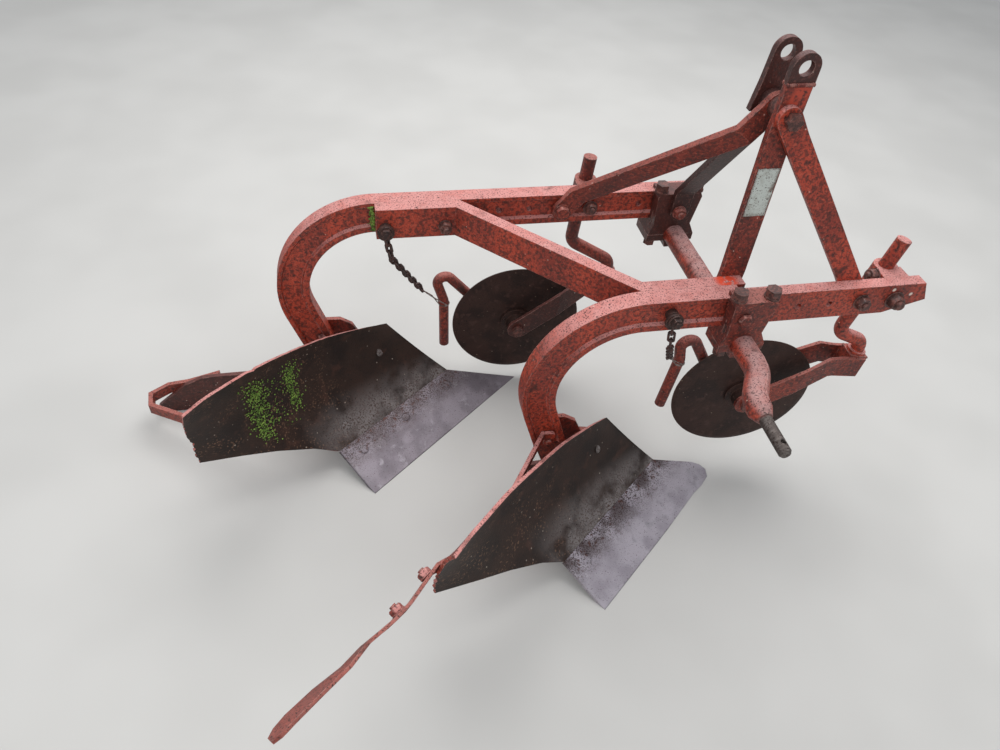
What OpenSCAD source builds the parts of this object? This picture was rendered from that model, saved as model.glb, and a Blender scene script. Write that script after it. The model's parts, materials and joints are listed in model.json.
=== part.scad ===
// Two-furrow mounted moldboard plough, standing on its shares and landsides.
// Millimetres. +X is forward, +Y is to the left, Z is up from the ground.
// Sizes are given from the right face of the right beam and then moved to the middle.

/* [Frame] */
// cut of one furrow, the sideways step between the two bottoms
cut_width = 355.6; // [300:0.1:410]
// fore and aft step between the two bottoms
bottom_step = 436; // [380:1:500]
// height of the top of the beams
beam_top = 585; // [540:1:630]
// depth of a beam
beam_depth = 66; // [56:1:76]
// flange width of a beam
beam_width = 36; // [30:1:44]
// rim left below the side recess of a beam
low_rim = 13; // [9:1:16]
// rim left above the side recess of a beam
top_rim = 8; // [6:1:12]
// depth of the side recess of a beam
beam_recess = 6; // [3:1:9]
// width of the plain bar at the front of the right beam
bar_width = 25; // [20:1:28]
// middle of the curve of a beam, fore and aft
curve_x = 365; // [340:1:390]
// outer radius of the curve of a beam
curve_radius = 212; // [190:1:230]
// turn of the curve from the top to the foot
curve_turn = 108; // [100:1:114]
// length of the straight foot of a beam
foot_length = 104; // [80:1:120]
// front tip of the right beam
right_tip = 936; // [880:1:960]
// front tip of the left beam
left_tip = 604; // [596:1:640]
// extra set-back of the left beam's curve
left_set = 14; // [0:1:20]
// thickness of the diagonal brace
brace_thick = 26; // [20:1:30]

/* [Hitch] */
// fore and aft place of the cross shaft
shaft_x = 553; // [530:1:570]
// diameter of the cross shaft
shaft_dia = 44.4; // [38:0.1:48]
// height of the cross shaft
shaft_z = 493; // [485:1:494]
// middle between the two lower hitch pins, across
hitch_y = 128; // [110:1:140]
// distance between the shoulders of the lower pins
pin_spread = 683; // [640:1:700]
// diameter of a lower hitch pin
pin_dia = 22.2; // [20:0.1:25]
// length of a lower hitch pin
pin_length = 76; // [60:1:90]
// rearward throw of the pins from the shaft
pin_throw = 45; // [30:1:60]
// height of the top link hole above the pins
mast_height = 457; // [430:1:470]
// fore and aft place of the top link hole
mast_x = 561; // [550:1:575]
// distance between the middles of the two top link ears
ear_spread = 61; // [50:1:70]
// thickness of a top link ear
ear_thick = 12; // [8:1:14]
// diameter of the top link hole
ear_hole = 25.4; // [19:0.1:26]
// width of the rear flat bar of the mast
leg_width = 46; // [40:1:56]
// width of the front flat bar of the mast
front_leg_width = 42; // [36:1:50]
// width of the long brace
long_width = 42; // [36:1:48]
// width of the short brace
short_width = 40; // [34:1:46]
// thickness of the flat bars of the mast
leg_thick = 12; // [10:1:14]

/* [Coulters] */
// radius of a coulter disc
disc_radius = 157; // [140:1:170]
// thickness of a coulter disc
disc_thick = 4; // [3:0.5:6]
// diameter of a coulter shank
shank_dia = 28.6; // [25:0.1:32]
// distance of the disc behind the swivel
yoke_reach = 199; // [180:1:215]
// drop of the disc below the swivel collar
yoke_drop = 160; // [150:1:170]
// width of a yoke arm
arm_width = 50; // [40:1:54]
// thickness of a yoke arm
arm_thick = 8; // [6:1:10]
// diameter of a weed rod
rod_dia = 24; // [16:1:24]
// wire diameter of the chain
wire_dia = 4.5; // [4:0.5:6]

/* [Bottoms] */
// plane of the landsides, left of the beam's right face
landside_y = 56; // [54:1:60]
// thickness of a landside
landside_thick = 10; // [8:1:12]
// height of a landside
landside_height = 98; // [80:1:110]
// tip of the share, fore and aft
share_tip_x = 697; // [680:1:710]
// slope of the share from edge to back
share_slope = 23; // [20:1:26]
// angle of the share edge from the line of travel
share_angle = 39.4; // [37:0.1:42]
// length of the share edge
share_length = 509; // [490:1:520]
// width of the share up its slope
share_width = 126; // [115:1:135]
// thickness of a share
share_thick = 9; // [7:1:11]
// thickness of a moldboard
board_thick = 7; // [6:1:9]

/* [Hidden] */

$fn = 64;

// middle of the whole plough, taken off every node
mid_x = 153.3;
mid_y = 13.3;

beam_bottom = beam_top - beam_depth;
curve_z = beam_top - curve_radius;
curve_inner = curve_radius - beam_depth;
foot_angle = 90 + curve_turn;
left_y = cut_width;
bolt_z = beam_top - beam_depth / 2;
// gap left between pieces that are bolted together
skin = 0.1;
// rise of the seam where two lengths of a bar meet
seam_ring = 0.1;

function unit(v) = v / norm(v);
function perp(v) = [-v[1], v[0]];

// turn that carries the axes to x and y
function turn(x, y) = let (z = cross(x, y))
  [atan2(y[2], z[2]), -asin(max(-1, min(1, x[2]))), atan2(x[1], x[0])];

module place(o, x, y) {
  translate(o) rotate(turn(x, y)) children();
}

// edge points of a band of width w along a line of points
function band_side(p, i, w) =
  i == 0 ? p[0] + perp(unit(p[1] - p[0])) * w
  : i == len(p) - 1 ? p[i] + perp(unit(p[i] - p[i - 1])) * w
  : let (a = perp(unit(p[i] - p[i - 1])), b = perp(unit(p[i + 1] - p[i])), m = unit(a + b))
    p[i] + m * w / (m * a);
function band(p, w) = concat(
  [for (i = [0 : len(p) - 1]) band_side(p, i, w / 2)],
  [for (i = [len(p) - 1 : -1 : 0]) band_side(p, i, -w / 2)]);

// the same band with round ends
function round_end(c, d, w) = [for (a = [15 : 15 : 165]) c + w / 2 * (cos(a) * perp(d) + sin(a) * d)];
function round_band(p, w) = let (last = len(p) - 1, line = band(p, w)) concat(
  [for (i = [0 : last]) line[i]], round_end(p[last], unit(p[last] - p[last - 1]), w),
  [for (i = [last + 1 : 2 * last + 1]) line[i]], round_end(p[0], unit(p[0] - p[1]), w));

// a side view profile, from y0 to y1
module side(y0, y1) {
  translate([0, y1, 0]) rotate([90, 0, 0]) linear_extrude(y1 - y0) children();
}

// round bar through points, with bends of radius bend
module rod(p, dia, bend) {
  last = len(p) - 1;
  dirs = [for (i = [0 : last - 1]) unit(p[i + 1] - p[i])];
  cut = [for (i = [0 : last]) (i == 0 || i == last) ? 0
    : bend * tan(acos(dirs[i - 1] * dirs[i]) / 2)];
  for (i = [0 : last - 1])
    let (d = dirs[i], a = p[i] + d * cut[i], b = p[i + 1] - d * cut[i + 1])
      along(a, d) cylinder(h = norm(b - a), d = dia);
  for (i = [1 : last - 1])
    let (d = dirs[i - 1], e = dirs[i], m = unit(e - d * (d * e)))
      place(p[i] - d * cut[i] + m * bend, -m, d)
        rotate_extrude(angle = acos(d * e)) translate([bend, 0]) circle(d = dia);
  // raised seams where a bend meets a straight
  for (i = [1 : last - 1]) {
    along(p[i] - dirs[i - 1] * cut[i], dirs[i - 1]) cylinder(h = 1, d = dia + seam_ring, center = true);
    along(p[i] + dirs[i] * cut[i], dirs[i]) cylinder(h = 1, d = dia + seam_ring, center = true);
  }
}

// carries the Z axis to direction d at point a
module along(a, d) {
  translate(a) rotate([0, acos(d[2]), atan2(d[1], d[0])]) children();
}

// six-sided head or nut, standing on z = 0
module hexagon(flats, height) {
  linear_extrude(height)
    polygon([for (i = [0 : 5]) flats / sqrt(3) * [cos(60 * i), sin(60 * i)]]);
}

// Beams
// section of a beam with a recess in each side: depth along X, width along Y, grown all round by g
recess_draft = 4;
function beam_section(g = 0) = let (r = low_rim + g, s = r + recess_draft, t = beam_depth - top_rim - g,
  u = t - recess_draft, d = beam_depth + g, w = beam_width, c = beam_recess - g)
  [[-g, -g], [r, -g], [s, c], [u, c], [t, -g], [d, -g],
   [d, w + g], [t, w + g], [u, w - c], [s, w - c], [r, w + g], [-g, w + g]];
function swap(p) = [for (q = p) [q[1], q[0]]];

module beam_rear(x_end) {
  translate([curve_x, beam_width, curve_z]) rotate([90, 0, 0]) {
    rotate([0, 0, 90]) rotate_extrude(angle = curve_turn)
      translate([curve_inner, 0]) polygon(beam_section());
    rotate([0, 0, foot_angle]) translate([curve_inner, 0, beam_width]) rotate([-90, 0, 0]) {
      linear_extrude(foot_length) polygon(beam_section());
      translate([0, 0, -0.5]) linear_extrude(1) polygon(beam_section(seam_ring));
    }
  }
  translate([curve_x, 0, beam_bottom]) rotate([90, 0, 90])
    linear_extrude(x_end - curve_x) polygon(swap(beam_section()));
  translate([curve_x - 0.5, 0, beam_bottom]) rotate([90, 0, 90])
    linear_extrude(1) polygon(swap(beam_section(seam_ring)));
}

module beam_hole(x, y) {
  translate([x, y - 1, bolt_z]) rotate([-90, 0, 0]) cylinder(h = beam_width + 2, d = 12);
}

bar_start = shaft_x - 12;
tip_cut = 84;

module right_beam() {
  color([0.50, 0.13, 0.10]) difference() {
    union() {
      beam_rear(bar_start);
      side(0, bar_width) polygon([[bar_start, beam_bottom], [right_tip - tip_cut, beam_bottom],
        [right_tip, beam_bottom + 26], [right_tip - 18, beam_top], [bar_start, beam_top]]);
    }
    for (x = [661, 726]) beam_hole(x, 0);
  }
}

module left_beam() {
  back = bottom_step + left_set;
  color([0.50, 0.13, 0.10]) translate([-back, left_y, 0]) difference() {
    beam_rear(left_tip + back);
    for (x = [167, 231, 471]) beam_hole(x + back, 0);
  }
}

// diagonal brace, from the right face of the left beam to the left face of the right beam
brace_rear = -87;
brace_bend_rear = 76;
brace_bend_front = 362;
brace_front = 560;
brace_gap = 0.1;

module diagonal_brace() {
  y_rear = left_y - brace_thick / 2 - brace_gap;
  y_front = beam_width + brace_thick / 2 + brace_gap;
  color([0.50, 0.13, 0.10]) translate([0, 0, beam_bottom]) linear_extrude(beam_depth)
    polygon(band([[brace_rear, y_rear], [brace_bend_rear, y_rear],
      [brace_bend_front, y_front], [brace_front, y_front]], brace_thick));
}

// Cross shaft and its brackets
// half the length of a bracket ahead of the shaft, and its edge behind the rear bolt
bracket_front = 42;
bracket_edge = 10;
cheek = 28;
lip = 8;
// distances of the bolts from the shaft
front_bolt = 32;
rear_bolt_right = 32;
rear_bolt_left = 46;
shaft_gap = 0.05;

module shaft_bore(y0, y1) {
  translate([shaft_x, y0, shaft_z]) rotate([-90, 0, 0])
    cylinder(h = y1 - y0, d = shaft_dia + 2 * shaft_gap);
}

// holes of the two bolts of a bracket, from z0 to z1
module bolt_bores(rear, z0, z1) {
  for (x = [-rear, front_bolt]) translate([shaft_x + x, -cheek / 2, z0])
    cylinder(h = z1 - z0, d = 14.2);
}

// bracket on a beam whose top is w wide, with the beam's right face at y = 0
// and its rear bolt at this distance from the shaft
module bracket(w, rear) {
  back = shaft_x - rear - bracket_edge;
  front = shaft_x + bracket_front;
  difference() {
    union() {
      side(-cheek, 0) polygon([[back + 4, beam_top + lip], [back, beam_top], [back + 4, beam_bottom],
        [back - 4, shaft_z], [front + 4, shaft_z], [front - 10, beam_bottom], [front, beam_top],
        [front - 4, beam_top + lip]]);
      side(-1, w / 2) polygon([[back + 4, beam_top + lip], [back + 4, beam_top],
        [front - 4, beam_top], [front - 4, beam_top + lip]]);
      side(-1, w) polygon([[back + 4, beam_bottom], [back - 4, shaft_z], [front + 4, shaft_z],
        [front - 10, beam_bottom]]);
    }
    shaft_bore(-cheek - 1, w + 1);
    bolt_bores(rear, shaft_z - 1, beam_top + lip + 1);
  }
}

cap_depth = 33;
cap_flange = 16;

module cap(w, rear) {
  back = rear + bracket_edge + 4;
  front = bracket_front + 4;
  difference() {
    translate([shaft_x, 0, shaft_z]) side(-cheek, w)
      polygon([[front, -skin], [front, -cap_flange], [18.5, -cap_flange], [14, -cap_depth],
        [-14, -cap_depth], [-18.5, -cap_flange], [-back, -cap_flange], [-back, -skin]]);
    shaft_bore(-cheek - 1, w + 1);
    bolt_bores(rear, shaft_z - cap_depth - 1, shaft_z + 1);
  }
}

module right_shaft_bracket() {
  color([0.45, 0.13, 0.11]) bracket(bar_width, rear_bolt_right);
}
module left_shaft_bracket() {
  color([0.35, 0.12, 0.11]) translate([0, left_y, 0]) bracket(beam_width, rear_bolt_left);
}
module right_shaft_cap() {
  color([0.45, 0.13, 0.11]) cap(bar_width, rear_bolt_right);
}
module left_shaft_cap() {
  color([0.35, 0.12, 0.11]) translate([0, left_y, 0]) cap(beam_width, rear_bolt_left);
}

module bracket_bolts() {
  top = beam_top + lip + skin;
  low = shaft_z - cap_flange - skin;
  nut = 13;
  washer = 3;
  color([0.25, 0.15, 0.14])
    for (b = [[-rear_bolt_right, 0], [front_bolt, 0], [-rear_bolt_left, left_y], [front_bolt, left_y]])
      translate([shaft_x + b[0], b[1] - cheek / 2, 0]) {
        translate([0, 0, top]) cylinder(h = washer, d = 29);
        translate([0, 0, top + washer - skin]) hexagon(25, 15);
        translate([0, 0, low - nut - 3]) cylinder(h = top - low + nut + 3.5, d = 14);
        translate([0, 0, low - nut]) hexagon(22, nut);
      }
}

crank_rise = 9;
shoulder = pin_spread / 2;
shoulder_dia = 27;
pin_z = shaft_z + pin_throw * sin(crank_rise);
pin_x = shaft_x - pin_throw * cos(crank_rise);

// half of the shaft, outwards along Z with its throw along X: straight, a crank of two equal
// bends of the given angle and radius, a neck that narrows to the shoulder, and the pin
module half_shaft(angle, radius, neck) {
  slant = (pin_throw - 2 * radius * (1 - cos(angle))) / sin(angle);
  crank = 2 * radius * sin(angle) + slant * cos(angle);
  straight = shoulder - neck - crank;
  knee = radius * tan(angle / 2);
  rod([[0, 0, 0], [0, 0, straight + knee],
    [pin_throw, 0, straight + crank - knee], [pin_throw, 0, shoulder - neck]], shaft_dia, radius);
  translate([pin_throw, 0, shoulder - neck]) cylinder(h = neck, d1 = shaft_dia, d2 = shoulder_dia);
  translate([pin_throw, 0, shoulder - 1]) difference() {
    union() {
      cylinder(h = pin_length - 3, d = pin_dia);
      translate([0, 0, pin_length - 4]) cylinder(h = 5, d1 = pin_dia, d2 = pin_dia - 5);
    }
    translate([0, 0, pin_length - 18]) rotate([90, 0, 0]) cylinder(h = pin_dia + 2, d = 10, center = true);
  }
}

module cross_shaft() {
  color([0.50, 0.13, 0.10]) translate([shaft_x, hitch_y, shaft_z]) {
    rotate([0, crank_rise, 0]) rotate([90, 0, 0]) rotate([0, 0, 180]) half_shaft(32, 75, 20);
    rotate([0, crank_rise, 0]) rotate([-90, 0, 0]) rotate([0, 0, 180]) half_shaft(55, 34, 6);
  }
}

// Mast
ear_z = pin_z + mast_height;
ear_right = hitch_y - ear_spread / 2;
ear_left = hitch_y + ear_spread / 2;
mast_bolt_x = 560;
mast_bolt_z = 880;
leg_foot_y = beam_width + brace_thick + 2 * brace_gap + leg_thick / 2 + 0.1;
front_foot_y = bar_width + leg_thick / 2 + 0.1;
rear_foot = [543, bolt_z];
front_foot = [792, bolt_z];

// flat bar: its side view and its front view are both bands, the front view sets its ends
module cranked_bar(side_pts, front_pts, w, t) {
  intersection() {
    side(-200, 700) polygon(round_band(side_pts, w));
    translate([-900, 0, 0]) rotate([90, 0, 90]) linear_extrude(2400) polygon(band(front_pts, t));
  }
}

// flat bar with a straight side view from a to b, folded sideways: bends at [distance from a, y]
module folded_bar(a, b, bends, w, t) {
  d = unit(b - a);
  intersection() {
    side(-200, 700) polygon(round_band([a, b], w));
    place([a[0], 0, a[1]], [d[0], 0, d[1]], [0, 1, 0])
      linear_extrude(2 * w, center = true) polygon(band(bends, t));
  }
}

// flat bar: its side view and its top view are both bands
module raked_bar(side_pts, plan_pts, w, t) {
  intersection() {
    side(-400, 800) polygon(round_band(side_pts, w));
    linear_extrude(1200) polygon(band(plan_pts, t));
  }
}

mast_bolt_dia = 19;
module mast_bolt_bore() {
  translate([mast_bolt_x, -200, mast_bolt_z]) rotate([-90, 0, 0]) cylinder(h = 600, d = mast_bolt_dia + 0.1);
}

ear_cut = 26;
rear_leg_side = [rear_foot, [mast_bolt_x, mast_bolt_z], [mast_x, ear_z]];
rear_leg_front = [[leg_foot_y, beam_bottom], [leg_foot_y, beam_top + 6],
  [ear_right, mast_bolt_z - 30], [ear_right, ear_z - ear_cut - skin]];

module mast_rear_leg() {
  color([0.50, 0.13, 0.10]) difference() {
    cranked_bar(rear_leg_side, rear_leg_front, leg_width, leg_thick);
    mast_bolt_bore();
  }
}

module mast_front_leg() {
  y_top = ear_right - leg_thick - skin;
  color([0.50, 0.13, 0.10]) difference() {
    cranked_bar([front_foot, [mast_bolt_x - 3, mast_bolt_z]],
      [[front_foot_y, beam_bottom], [front_foot_y, beam_top + 6],
      [y_top, mast_bolt_z - 26], [y_top, ear_z]], front_leg_width, leg_thick);
    mast_bolt_bore();
  }
}

// blank plate on the right face of the rear leg
plate_thick = 1.5;
plate_low = 706;
plate_length = 86;
module blank_plate() {
  run = rear_leg_front[2] - rear_leg_front[1];
  out = (leg_thick / 2 + skin + plate_thick / 2) * norm(run) / run[1];
  function face_y(z) = leg_foot_y + (z - rear_leg_front[1][1]) * run[0] / run[1] - out;
  color([0.75, 0.75, 0.74])
    cranked_bar(rear_leg_side, [for (z = [plate_low, plate_low + plate_length]) [face_y(z), z]],
      leg_width - 6, plate_thick);
}

// ear with a rounded head and the top link hole, bottom at z = low
module ear(low, w) {
  difference() {
    union() {
      translate([mast_x, 0, ear_z]) rotate([90, 0, 0]) cylinder(h = ear_thick, r = 24, center = true);
      side(-ear_thick / 2, ear_thick / 2) polygon([[mast_x - w / 2, low], [mast_x + w / 2, low],
        [mast_x + 24, ear_z], [mast_x - 24, ear_z]]);
    }
    translate([mast_x, 0, ear_z]) rotate([90, 0, 0]) cylinder(h = ear_thick + 2, d = ear_hole, center = true);
  }
}

module right_ear() {
  color([0.40, 0.12, 0.11]) translate([0, ear_right, 0]) ear(ear_z - ear_cut, 48);
}

waist = 46;
module left_ear_plate() {
  color([0.30, 0.11, 0.11]) translate([0, ear_left, 0]) difference() {
    union() {
      ear(ear_z - waist, 56);
      side(-ear_thick / 2, ear_thick / 2) polygon([[mast_bolt_x - 34, mast_bolt_z - 20],
        [mast_bolt_x + 26, mast_bolt_z - 20], [mast_x + 28, ear_z - waist], [mast_x - 28, ear_z - waist]]);
    }
    mast_bolt_bore();
  }
}

spacer_y = ear_right + leg_thick / 2 + skin;
short_y = ear_left - ear_thick / 2 - skin - leg_thick / 2;
long_y = short_y - leg_thick - skin;

module mast_spacer() {
  color([0.42, 0.38, 0.37]) translate([mast_bolt_x, spacer_y, mast_bolt_z]) rotate([-90, 0, 0]) difference() {
    cylinder(h = long_y - leg_thick / 2 - skin - spacer_y, d = 38);
    translate([0, 0, -1]) cylinder(h = 100, d = mast_bolt_dia + 0.1);
  }
}

module mast_bolt() {
  right = ear_right - 1.5 * leg_thick - 2 * skin;
  left = ear_left + ear_thick / 2 + skin;
  color([0.30, 0.13, 0.12]) translate([mast_bolt_x, right, mast_bolt_z]) rotate([-90, 0, 0]) {
    translate([0, 0, -13]) hexagon(25, 13);
    translate([0, 0, -0.5]) cylinder(h = left - right + 24, d = mast_bolt_dia);
    translate([0, 0, left - right]) hexagon(30, 16);
  }
}

long_foot = [298, bolt_z];
long_foot_y = left_y - leg_thick / 2 - skin;
long_span = norm([mast_bolt_x, mast_bolt_z] - long_foot);
module long_brace() {
  color([0.42, 0.12, 0.11]) difference() {
    folded_bar(long_foot, [mast_bolt_x, mast_bolt_z],
      [[-60, long_foot_y], [45, long_foot_y], [long_span - 66, long_y], [long_span + 60, long_y]],
      long_width, leg_thick);
    mast_bolt_bore();
  }
}

short_foot_y = left_y - cheek - leg_thick / 2 - skin;
module short_brace() {
  color([0.27, 0.12, 0.12]) difference() {
    cranked_bar([[547, bolt_z + 4], [mast_bolt_x - 2, mast_bolt_z]],
      [[short_foot_y, beam_bottom], [short_foot_y, beam_top + 16],
      [short_y, mast_bolt_z - 28], [short_y, ear_z]], short_width, leg_thick);
    mast_bolt_bore();
  }
}

// Bottoms
// a bottom at the front beam, or stepped back and across for the rear beam
module at_rear() {
  translate([-bottom_step, cut_width, 0]) children();
}

// a point on the top of the share: u forward along the edge from the tip, v up the slope
function share_point(u, v) = [
  share_tip_x + u * cos(share_angle) - v * cos(share_slope) * sin(share_angle),
  landside_y + u * sin(share_angle) + v * cos(share_slope) * cos(share_angle),
  v * sin(share_slope)];
// u where the plane at this y is met
function share_u(v, y) = (y - landside_y - v * cos(share_slope) * cos(share_angle)) / sin(share_angle);

module in_share() {
  translate([share_tip_x, landside_y, 0]) rotate([0, 0, share_angle]) rotate([share_slope, 0, 0]) children();
}

module share_plate(edge) {
  seam_front = share_u(share_width, landside_y);
  intersection() {
    in_share() translate([0, 0, -share_thick]) linear_extrude(share_thick)
      polygon(concat(edge, [[-share_length, 0], [-share_length + 5, share_width],
        [seam_front, share_width]]));
    translate([0, -400, 0]) cube([900, 800, 200]);
  }
}

module front_share() {
  // nose worn round, edge worn to a slight belly
  color([0.36, 0.33, 0.34]) share_plate([[share_u(54, landside_y), 54], [-48, 36], [-44, 18],
    [-56, 4], [-88, 1], [-122, 4], [-257, 0], [-404, -4]]);
}
module rear_share() {
  color([0.30, 0.27, 0.27]) at_rear() share_plate([[0, 0]]);
}

// Moldboard: stations from the shin to the tail.
// columns: lower edge, upper edge, depth of the hollow
seam_gap = 0.2;
function seam(k) = share_point(share_u(share_width, landside_y) * (1 - k) + (5 - share_length) * k,
  share_width + seam_gap);
shin = [366, landside_y, 222];
stations = [
  [seam(0), shin, 3],
  [seam(0.25), [309, 7, 256], 24],
  [seam(0.5), [257, -38, 285], 36],
  [seam(0.75), [210, -82, 308], 42],
  [seam(1), [158, -130, 330], 42],
  [[180, -189, 86], [90, -196, 350], 36],
  [[106, -216, 124], [30, -256, 362], 26],
  [[39, -242, 152], [0, -286, 364], 18],
  [[-55, -268, 174], [-26, -313, 361], 12]];
station_last = len(stations) - 1;

function row(k) = stations[max(0, min(station_last, k))];
function smooth(a, b, c, d, t) = b + (c - a) * t / 2 + (2 * a - 5 * b + 4 * c - d) * t * t / 2
  + (3 * b - a - 3 * c + d) * t * t * t / 2;
function column(s, c) = let (k = min(station_last - 1, floor(s)), t = s - k)
  smooth(row(k - 1)[c], row(k)[c], row(k + 1)[c], row(k + 2)[c], t);
function lower(s) = let (k = min(station_last - 1, floor(s)))
  row(k)[0] + (row(k + 1)[0] - row(k)[0]) * (s - k);
// point of the board at station s, height t from 0 to 1, at depth e behind its face
function board_point(s, t, e) = let (
  a = max(0, s - 0.5), b = min(station_last, s + 0.5),
  low = lower(s), chord = column(s, 1) - low,
  run = (lower(b) + column(b, 1) - lower(a) - column(a, 1)) / 2,
  back = unit(cross(run, chord)), up = unit(chord), h = column(s, 2),
  face = unit(back * norm(chord) - up * 4 * h * (1 - 2 * t)))
  low + chord * t + back * 4 * h * t * (1 - t) + face * e;

board_steps = 16;
board_rows = 8;
// shell of the board between two depths
module board_shell(front, back) {
  n = board_rows + 1;
  pts = [for (e = [front, back], i = [0 : board_steps], j = [0 : board_rows])
    board_point(station_last * i / board_steps, j / board_rows, e)];
  half = n * (board_steps + 1);
  cells = [for (i = [0 : board_steps - 1], j = [0 : board_rows - 1]) i * n + j];
  face = [for (c = cells, k = [0, 1]) k == 0 ? [c, c + n, c + n + 1] : [c, c + n + 1, c + 1]];
  rim = concat([for (i = [0 : board_steps - 1]) i * n],
    [for (j = [0 : board_rows - 1]) board_steps * n + j],
    [for (i = [board_steps : -1 : 1]) i * n + board_rows],
    [for (j = [board_rows : -1 : 1]) j]);
  edge = [for (m = [0 : len(rim) - 1], k = [0, 1])
    let (p = rim[m], q = rim[(m + 1) % len(rim)])
    k == 0 ? [q, p, p + half] : [q, p + half, q + half]];
  polyhedron(pts, concat(face, [for (f = face) [f[2] + half, f[1] + half, f[0] + half]], edge));
}

module board() {
  intersection() {
    board_shell(0, board_thick);
    translate([-200, -500, 0]) cube([900, 500 + landside_y, 500]);
  }
}

module front_moldboard() {
  color([0.20, 0.14, 0.13]) board();
}
module rear_moldboard() {
  color([0.15, 0.11, 0.09]) at_rear() board();
}

// all that lies in front of the backs of share and moldboard
module face_cut() {
  board_shell(-45, board_thick + skin);
  in_share() translate([-share_length, 0, -share_thick - skin])
    cube([share_length + 60, share_width + 0.1, 90]);
}

module frog() {
  seat_low = 50;
  seat_high = 150;
  web_left = landside_y - landside_thick - skin;
  difference() {
    union() {
      side(beam_width + skin, web_left) polygon([[196, 252], [222, 264], [262, 262],
        [288, 244], [302, 214], [376, 196], [500, 52], [600, 20], [600, 3], [280, 3], [250, 60], [214, 160]]);
      in_share() translate([0, 0, -share_thick - 13]) linear_extrude(13)
        polygon([[-330, seat_low], [share_u(seat_low, web_left), seat_low],
          [share_u(seat_high, web_left), seat_high], [-330, seat_high]]);
    }
    face_cut();
    translate([0, -400, -100]) cube([900, 800, 102]);
    translate([0, web_left, 0]) cube([900, 100, 400]);
  }
}

module front_frog() {
  color([0.34, 0.12, 0.11]) frog();
}
module rear_frog() {
  color([0.34, 0.12, 0.11]) at_rear() frog();
}

module landside(tail) {
  side(landside_y - landside_thick, landside_y)
    polygon(concat(tail, [[430, landside_height], [484, 40], [560, 6], [560, 0]]));
}

module front_landside() {
  color([0.30, 0.18, 0.16]) landside([[205, 0], [205, landside_height]]);
}
module rear_landside() {
  color([0.30, 0.18, 0.16]) at_rear()
    landside([[-178, 0], [-182, 22], [-150, 50], [-110, 84], [-70, 102], [-40, 104], [100, 104]]);
}

// thin stay from the foot of the right beam to the back of the front moldboard
module front_stay() {
  color([0.50, 0.13, 0.10]) difference() {
    raked_bar([[222, 258], [200, 260], [60, 284]], [[236, -5.1], [204, -5.1], [93, -169]], 18, 8);
    face_cut();
  }
}

// bent bar from the tail of the rear landside to the back of the rear moldboard
module rear_loop() {
  color([0.45, 0.13, 0.11]) at_rear() difference() {
    raked_bar([[-230, 56], [-100, 72], [0, 100], [150, 160]],
      [[-30, landside_y + 5.1], [-150, landside_y + 5.1], [-188, 40], [-184, 4], [-110, -46], [120, -196]], 26, 10);
    face_cut();
  }
}

// strap bolted behind the tail of the front moldboard, turned over towards its end
// columns: middle, lean of its width from upright, width
strap_thick = 6;
strap_back = board_thick + strap_thick / 2 + 1;
strap_rows = [
  [board_point(7.2, 0.42, strap_back), 6, 36],
  [board_point(station_last, 0.42, strap_back), 14, 36],
  [[-103, -332, 268], 18, 38],
  [[-133, -360, 274], 21, 38],
  [[-155, -377, 279], 22, 38],
  [[-176, -393, 283], 24, 38],
  [[-206, -425, 288], 31, 38],
  [[-248, -457, 292], 40, 38],
  [[-287, -488, 292], 43, 38],
  [[-304, -503, 290], 43, 34],
  [[-314, -512, 288], 40, 18]];

module tail_extension() {
  last = len(strap_rows) - 1;
  heading = [for (i = [0 : last]) unit(strap_rows[min(last, i + 1)][0] - strap_rows[max(0, i - 1)][0])];
  flat_side = [for (d = heading) unit(cross(d, [0, 0, 1]))];
  pts = [for (i = [0 : last])
    let (a = strap_rows[i][1], rise = cross(flat_side[i], heading[i]),
      up = rise * cos(a) - flat_side[i] * sin(a), out = cross(heading[i], up),
      w = strap_rows[i][2] / 2, t = strap_thick / 2)
    for (q = [[-1, -1], [1, -1], [1, 1], [-1, 1]]) strap_rows[i][0] + up * w * q[0] + out * t * q[1]];
  sides = [for (i = [0 : last - 1], k = [0 : 3], h = [0, 1])
    let (a = 4 * i + k, b = 4 * i + (k + 1) % 4)
    h == 0 ? [a, b, b + 4] : [a, b + 4, a + 4]];
  color([0.52, 0.15, 0.11])
    polyhedron(pts, concat(sides, [[3, 2, 1], [3, 1, 0]],
      [[4 * last, 4 * last + 1, 4 * last + 2], [4 * last, 4 * last + 2, 4 * last + 3]]));
}

// Coulters
// columns: shank x, y, lean, top, upper knee, crank, collar height, turn of the yoke,
// beam face at the clamp, lift of the weed rod
coulters = [
  [863.5, 62, 10, 93, -138, 82, -188, -5.5, bar_width, 16],
  [362.4, left_y + 64, 3.4, 82, -128, 108, -213, -3, left_y + beam_width, 0]];
fit = 0.05;

module at_shank(c) {
  translate([c[0], c[1], bolt_z]) rotate([0, c[2], 0]) children();
}
module at_yoke(c) {
  at_shank(c) translate([c[5], 0, c[6]]) rotate([0, 0, c[7]]) children();
}
module at_hub(c) {
  at_yoke(c) translate([-yoke_reach, 0, -yoke_drop]) children();
}

collar_high = 46;
collar_gap = 0.5;

module shank(c) {
  at_shank(c) {
    rod([[0, 0, c[3]], [0, 0, c[4]], [c[5], 0, c[6] + 28], [c[5], 0, c[6] - collar_high - 10]], shank_dia, 30);
    translate([c[5], 0, c[6]]) cylinder(h = 6, d = 40);
    translate([c[5], 0, c[6] - collar_high - 2 * collar_gap - 6]) cylinder(h = 6, d = 35);
  }
}

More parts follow.
